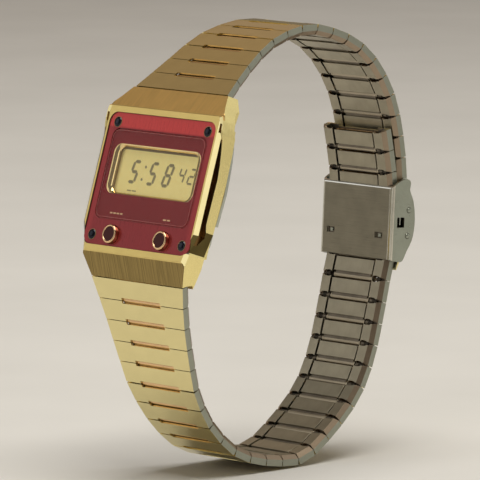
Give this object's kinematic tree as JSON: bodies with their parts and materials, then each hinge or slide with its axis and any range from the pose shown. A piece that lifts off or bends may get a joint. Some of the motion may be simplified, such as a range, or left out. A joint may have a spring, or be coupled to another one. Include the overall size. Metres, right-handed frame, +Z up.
{
  "type": "digital wristwatch",
  "caption": "Square digital wristwatch with a red face, two push buttons and a tapered folded-link bracelet closed by a fold-over clasp.",
  "frame": {"origin": "middle of the flat face of the case back", "axes": "+Z up as the closed watch stands; +X across the watch, towards the 3 o clock side; the display faces -Y and leans back 18 degrees; the bracelet loop lies behind the head, towards +Y"},
  "size_m": [0.0298, 0.0602, 0.0775],
  "materials": {
    "gold_case": "gold plated, brushed with polished bevels",
    "gold_polished": "gold plated, polished",
    "gold_link": "gold plated outside, bare brushed steel at the sides and inside",
    "steel": "satin",
    "red_face": "maroon lacquer over a brushed plate",
    "dark_screw": "blue-black, domed",
    "glass": "clear",
    "display": "pale gold display glass",
    "black_plastic": "matt",
    "board": "matt",
    "rubber": "matt"
  },
  "bodies": {
    "head": {"case": "gold_case", "face_plate": "red_face", "face_screws": "dark_screw", "crystal": "glass", "window_frame": "gold_polished", "lcd_panel": "display", "module_frame": "black_plastic", "circuit_board": "board", "battery": "steel", "button_springs": "steel", "gaskets": "rubber", "case_back": "steel", "spring_bars": "steel"},
    "button_left": {"button_left": "gold_polished"},
    "button_right": {"button_right": "gold_polished"},
    "upper_link_01": {"upper_link_01": "gold_link"},
    "upper_link_02": {"upper_link_02": "gold_link"},
    "upper_link_03": {"upper_link_03": "gold_link"},
    "upper_link_04": {"upper_link_04": "gold_link"},
    "upper_link_05": {"upper_link_05": "gold_link"},
    "upper_link_06": {"upper_link_06": "gold_link"},
    "upper_link_07": {"upper_link_07": "gold_link"},
    "upper_link_08": {"upper_link_08": "gold_link"},
    "upper_link_09": {"upper_link_09": "gold_link"},
    "upper_link_10": {"upper_link_10": "gold_link"},
    "upper_link_11": {"upper_link_11": "gold_link"},
    "upper_link_12": {"upper_link_12": "gold_link"},
    "upper_link_13": {"upper_link_13": "gold_link"},
    "upper_link_14": {"upper_link_14": "gold_link"},
    "upper_link_15": {"upper_link_15": "gold_link"},
    "upper_link_16": {"upper_link_16": "gold_link"},
    "upper_link_17": {"upper_link_17": "gold_link"},
    "lower_link_01": {"lower_link_01": "gold_link"},
    "lower_link_02": {"lower_link_02": "gold_link"},
    "lower_link_03": {"lower_link_03": "gold_link"},
    "lower_link_04": {"lower_link_04": "gold_link"},
    "lower_link_05": {"lower_link_05": "gold_link"},
    "lower_link_06": {"lower_link_06": "gold_link"},
    "lower_link_07": {"lower_link_07": "gold_link"},
    "lower_link_08": {"lower_link_08": "gold_link"},
    "lower_link_09": {"lower_link_09": "gold_link"},
    "lower_link_10": {"lower_link_10": "gold_link"},
    "lower_link_11": {"lower_link_11": "gold_link"},
    "lower_link_12": {"lower_link_12": "gold_link"},
    "lower_link_13": {"lower_link_13": "gold_link"},
    "lower_link_14": {"lower_link_14": "gold_link"},
    "lower_link_15": {"lower_link_15": "gold_link"},
    "lower_link_16": {"lower_link_16": "gold_link"},
    "lower_link_17": {"lower_link_17": "gold_link"},
    "lower_link_18": {"lower_link_18": "gold_link"},
    "lower_link_19": {"lower_link_19": "gold_link"},
    "lower_link_20": {"lower_link_20": "gold_link"},
    "lower_link_21": {"lower_link_21": "gold_link"},
    "lower_link_22": {"lower_link_22": "gold_link"},
    "lower_link_23": {"lower_link_23": "gold_link"},
    "clasp": {"clasp_channel": "steel", "clasp_pins": "steel", "clasp_strap": "gold_link"},
    "clasp_cover": {"clasp_cover": "gold_case"},
    "clasp_lever": {"clasp_lever": "steel"}
  },
  "joints": [
    {"name": "push_left", "type": "slide", "parent": "head", "child": "button_left", "axis": [0, 0.9511, -0.309], "range_m": [0, 0.0005], "stiffness_N_per_m": 400, "springref_m": -0.0005},
    {"name": "push_right", "type": "slide", "parent": "head", "child": "button_right", "axis": [0, 0.9511, -0.309], "range_m": [0, 0.0005], "stiffness_N_per_m": 400, "springref_m": -0.0005},
    {"name": "upper_hinge_01", "type": "hinge", "parent": "head", "child": "upper_link_01", "pos_m": [0, 0.002, 0.01673], "axis": [1, 0, 0], "range_deg": [0, 6]},
    {"name": "upper_hinge_02", "type": "hinge", "parent": "upper_link_01", "child": "upper_link_02", "pos_m": [0, 0.00515, 0.01902], "axis": [1, 0, 0], "range_deg": [0, 1]},
    {"name": "upper_hinge_03", "type": "hinge", "parent": "upper_link_02", "child": "upper_link_03", "pos_m": [0, 0.00835, 0.02126], "axis": [1, 0, 0], "range_deg": [0, 1]},
    {"name": "upper_hinge_04", "type": "hinge", "parent": "upper_link_03", "child": "upper_link_04", "pos_m": [0, 0.01158, 0.02344], "axis": [1, 0, 0], "range_deg": [0, 6]},
    {"name": "upper_hinge_05", "type": "hinge", "parent": "upper_link_04", "child": "upper_link_05", "pos_m": [0, 0.01503, 0.02527], "axis": [1, 0, 0], "range_deg": [0, 11]},
    {"name": "upper_hinge_06", "type": "hinge", "parent": "upper_link_05", "child": "upper_link_06", "pos_m": [0, 0.01875, 0.02641], "axis": [1, 0, 0], "range_deg": [0, 7]},
    {"name": "upper_hinge_07", "type": "hinge", "parent": "upper_link_06", "child": "upper_link_07", "pos_m": [0, 0.0226, 0.02708], "axis": [1, 0, 0], "range_deg": [0, 10]},
    {"name": "bracelet_upper", "type": "hinge", "parent": "upper_link_07", "child": "upper_link_08", "pos_m": [0, 0.0265, 0.02708], "axis": [1, 0, 0], "range_deg": [0, 13]},
    {"name": "upper_hinge_09", "type": "hinge", "parent": "upper_link_08", "child": "upper_link_09", "pos_m": [0, 0.0303, 0.02621], "axis": [1, 0, 0], "range_deg": [0, 6]},
    {"name": "upper_hinge_10", "type": "hinge", "parent": "upper_link_09", "child": "upper_link_10", "pos_m": [0, 0.03398, 0.02494], "axis": [1, 0, 0], "range_deg": [0, 9]},
    {"name": "upper_hinge_11", "type": "hinge", "parent": "upper_link_10", "child": "upper_link_11", "pos_m": [0, 0.03743, 0.02311], "axis": [1, 0, 0], "range_deg": [0, 12]},
    {"name": "upper_hinge_12", "type": "hinge", "parent": "upper_link_11", "child": "upper_link_12", "pos_m": [0, 0.04041, 0.0206], "axis": [1, 0, 0], "range_deg": [0, 11]},
    {"name": "upper_hinge_13", "type": "hinge", "parent": "upper_link_12", "child": "upper_link_13", "pos_m": [0, 0.04287, 0.01757], "axis": [1, 0, 0], "range_deg": [0, 9]},
    {"name": "upper_hinge_14", "type": "hinge", "parent": "upper_link_13", "child": "upper_link_14", "pos_m": [0, 0.04482, 0.01419], "axis": [1, 0, 0], "range_deg": [0, 10]},
    {"name": "upper_hinge_15", "type": "hinge", "parent": "upper_link_14", "child": "upper_link_15", "pos_m": [0, 0.04615, 0.01053], "axis": [1, 0, 0], "range_deg": [0, 7]},
    {"name": "upper_hinge_16", "type": "hinge", "parent": "upper_link_15", "child": "upper_link_16", "pos_m": [0, 0.04703, 0.00673], "axis": [1, 0, 0], "range_deg": [0, 4]},
    {"name": "upper_hinge_17", "type": "hinge", "parent": "upper_link_16", "child": "upper_link_17", "pos_m": [0, 0.04764, 0.00287], "axis": [1, 0, 0], "range_deg": [0, 5]},
    {"name": "clasp_hinge", "type": "hinge", "parent": "upper_link_17", "child": "clasp", "pos_m": [0, 0.04795, -0.00151], "axis": [1, 0, 0], "range_deg": [0, 7.5]},
    {"name": "lower_hinge_01", "type": "hinge", "parent": "head", "child": "lower_link_01", "pos_m": [0, -0.00821, -0.01471], "axis": [-1, 0, 0], "range_deg": [0, 2]},
    {"name": "lower_hinge_02", "type": "hinge", "parent": "lower_link_01", "child": "lower_link_02", "pos_m": [0, -0.00727, -0.01849], "axis": [-1, 0, 0], "range_deg": [0, 1]},
    {"name": "lower_hinge_03", "type": "hinge", "parent": "lower_link_02", "child": "lower_link_03", "pos_m": [0, -0.00626, -0.02226], "axis": [-1, 0, 0], "range_deg": [0, 1]},
    {"name": "lower_hinge_04", "type": "hinge", "parent": "lower_link_03", "child": "lower_link_04", "pos_m": [0, -0.00519, -0.02601], "axis": [-1, 0, 0], "range_deg": [0, 1]},
    {"name": "lower_hinge_05", "type": "hinge", "parent": "lower_link_04", "child": "lower_link_05", "pos_m": [0, -0.00405, -0.02974], "axis": [-1, 0, 0], "range_deg": [0, 1]},
    {"name": "lower_hinge_06", "type": "hinge", "parent": "lower_link_05", "child": "lower_link_06", "pos_m": [0, -0.00284, -0.03345], "axis": [-1, 0, 0], "range_deg": [0, 10]},
    {"name": "lower_hinge_07", "type": "hinge", "parent": "lower_link_06", "child": "lower_link_07", "pos_m": [0, -0.00101, -0.03689], "axis": [-1, 0, 0], "range_deg": [0, 7]},
    {"name": "lower_hinge_08", "type": "hinge", "parent": "lower_link_07", "child": "lower_link_08", "pos_m": [0, 0.00123, -0.04008], "axis": [-1, 0, 0], "range_deg": [0, 9]},
    {"name": "lower_hinge_09", "type": "hinge", "parent": "lower_link_08", "child": "lower_link_09", "pos_m": [0, 0.00394, -0.04289], "axis": [-1, 0, 0], "range_deg": [0, 8]},
    {"name": "lower_hinge_10", "type": "hinge", "parent": "lower_link_09", "child": "lower_link_10", "pos_m": [0, 0.00701, -0.04529], "axis": [-1, 0, 0], "range_deg": [0, 14]},
    {"name": "lower_hinge_11", "type": "hinge", "parent": "lower_link_10", "child": "lower_link_11", "pos_m": [0, 0.01057, -0.04688], "axis": [-1, 0, 0], "range_deg": [0, 10]},
    {"name": "lower_hinge_12", "type": "hinge", "parent": "lower_link_11", "child": "lower_link_12", "pos_m": [0, 0.01436, -0.04782], "axis": [-1, 0, 0], "range_deg": [0, 6]},
    {"name": "lower_hinge_13", "type": "hinge", "parent": "lower_link_12", "child": "lower_link_13", "pos_m": [0, 0.01822, -0.04836], "axis": [-1, 0, 0], "range_deg": [0, 5]},
    {"name": "bracelet_lower", "type": "hinge", "parent": "lower_link_13", "child": "lower_link_14", "pos_m": [0, 0.02211, -0.04857], "axis": [-1, 0, 0], "range_deg": [0, 21]},
    {"name": "lower_hinge_15", "type": "hinge", "parent": "lower_link_14", "child": "lower_link_15", "pos_m": [0, 0.02582, -0.04736], "axis": [-1, 0, 0], "range_deg": [0, 16]},
    {"name": "lower_hinge_16", "type": "hinge", "parent": "lower_link_15", "child": "lower_link_16", "pos_m": [0, 0.02906, -0.04518], "axis": [-1, 0, 0], "range_deg": [0, 3]},
    {"name": "lower_hinge_17", "type": "hinge", "parent": "lower_link_16", "child": "lower_link_17", "pos_m": [0, 0.03217, -0.04283], "axis": [-1, 0, 0], "range_deg": [0, 5]},
    {"name": "lower_hinge_18", "type": "hinge", "parent": "lower_link_17", "child": "lower_link_18", "pos_m": [0, 0.03507, -0.04022], "axis": [-1, 0, 0], "range_deg": [0, 9]},
    {"name": "lower_hinge_19", "type": "hinge", "parent": "lower_link_18", "child": "lower_link_19", "pos_m": [0, 0.03752, -0.03719], "axis": [-1, 0, 0], "range_deg": [0, 11]},
    {"name": "lower_hinge_20", "type": "hinge", "parent": "lower_link_19", "child": "lower_link_20", "pos_m": [0, 0.03935, -0.03375], "axis": [-1, 0, 0], "range_deg": [0, 7]},
    {"name": "lower_hinge_21", "type": "hinge", "parent": "lower_link_20", "child": "lower_link_21", "pos_m": [0, 0.04075, -0.03011], "axis": [-1, 0, 0], "range_deg": [0, 5]},
    {"name": "lower_hinge_22", "type": "hinge", "parent": "lower_link_21", "child": "lower_link_22", "pos_m": [0, 0.04183, -0.02636], "axis": [-1, 0, 0], "range_deg": [0, 1]},
    {"name": "lower_hinge_23", "type": "hinge", "parent": "lower_link_22", "child": "lower_link_23", "pos_m": [0, 0.04284, -0.02259], "axis": [-1, 0, 0], "range_deg": [0, 1]},
    {"name": "cover", "type": "hinge", "parent": "clasp", "child": "clasp_cover", "pos_m": [0, 0.04795, -0.00151], "axis": [1, 0, 0], "range_deg": [0, 95]},
    {"name": "lever", "type": "hinge", "parent": "clasp", "child": "clasp_lever", "pos_m": [0, 0.04787, -0.01103], "axis": [1, 0, 0], "range_deg": [0, 38]}
  ],
  "couplings": [
    {"joint": "upper_hinge_01", "follows": "bracelet_upper", "ratio": 0.46154},
    {"joint": "upper_hinge_02", "follows": "bracelet_upper", "ratio": 0.076923},
    {"joint": "upper_hinge_03", "follows": "bracelet_upper", "ratio": 0.076923},
    {"joint": "upper_hinge_04", "follows": "bracelet_upper", "ratio": 0.46154},
    {"joint": "upper_hinge_05", "follows": "bracelet_upper", "ratio": 0.84615},
    {"joint": "upper_hinge_06", "follows": "bracelet_upper", "ratio": 0.53846},
    {"joint": "upper_hinge_07", "follows": "bracelet_upper", "ratio": 0.76923},
    {"joint": "upper_hinge_09", "follows": "bracelet_upper", "ratio": 0.46154},
    {"joint": "upper_hinge_10", "follows": "bracelet_upper", "ratio": 0.69231},
    {"joint": "upper_hinge_11", "follows": "bracelet_upper", "ratio": 0.92308},
    {"joint": "upper_hinge_12", "follows": "bracelet_upper", "ratio": 0.84615},
    {"joint": "upper_hinge_13", "follows": "bracelet_upper", "ratio": 0.69231},
    {"joint": "upper_hinge_14", "follows": "bracelet_upper", "ratio": 0.76923},
    {"joint": "upper_hinge_15", "follows": "bracelet_upper", "ratio": 0.53846},
    {"joint": "upper_hinge_16", "follows": "bracelet_upper", "ratio": 0.30769},
    {"joint": "upper_hinge_17", "follows": "bracelet_upper", "ratio": 0.38461},
    {"joint": "clasp_hinge", "follows": "bracelet_upper", "ratio": 0.57692},
    {"joint": "lower_hinge_01", "follows": "bracelet_lower", "ratio": 0.095238},
    {"joint": "lower_hinge_02", "follows": "bracelet_lower", "ratio": 0.047619},
    {"joint": "lower_hinge_03", "follows": "bracelet_lower", "ratio": 0.047619},
    {"joint": "lower_hinge_04", "follows": "bracelet_lower", "ratio": 0.047619},
    {"joint": "lower_hinge_05", "follows": "bracelet_lower", "ratio": 0.047619},
    {"joint": "lower_hinge_06", "follows": "bracelet_lower", "ratio": 0.47619},
    {"joint": "lower_hinge_07", "follows": "bracelet_lower", "ratio": 0.33333},
    {"joint": "lower_hinge_08", "follows": "bracelet_lower", "ratio": 0.42857},
    {"joint": "lower_hinge_09", "follows": "bracelet_lower", "ratio": 0.38095},
    {"joint": "lower_hinge_10", "follows": "bracelet_lower", "ratio": 0.66667},
    {"joint": "lower_hinge_11", "follows": "bracelet_lower", "ratio": 0.47619},
    {"joint": "lower_hinge_12", "follows": "bracelet_lower", "ratio": 0.28571},
    {"joint": "lower_hinge_13", "follows": "bracelet_lower", "ratio": 0.2381},
    {"joint": "lower_hinge_15", "follows": "bracelet_lower", "ratio": 0.7619},
    {"joint": "lower_hinge_16", "follows": "bracelet_lower", "ratio": 0.14286},
    {"joint": "lower_hinge_17", "follows": "bracelet_lower", "ratio": 0.2381},
    {"joint": "lower_hinge_18", "follows": "bracelet_lower", "ratio": 0.42857},
    {"joint": "lower_hinge_19", "follows": "bracelet_lower", "ratio": 0.52381},
    {"joint": "lower_hinge_20", "follows": "bracelet_lower", "ratio": 0.33333},
    {"joint": "lower_hinge_21", "follows": "bracelet_lower", "ratio": 0.2381},
    {"joint": "lower_hinge_22", "follows": "bracelet_lower", "ratio": 0.047619},
    {"joint": "lower_hinge_23", "follows": "bracelet_lower", "ratio": 0.047619},
    {"joint": "lever", "follows": "cover", "ratio": 0.4}
  ]
}
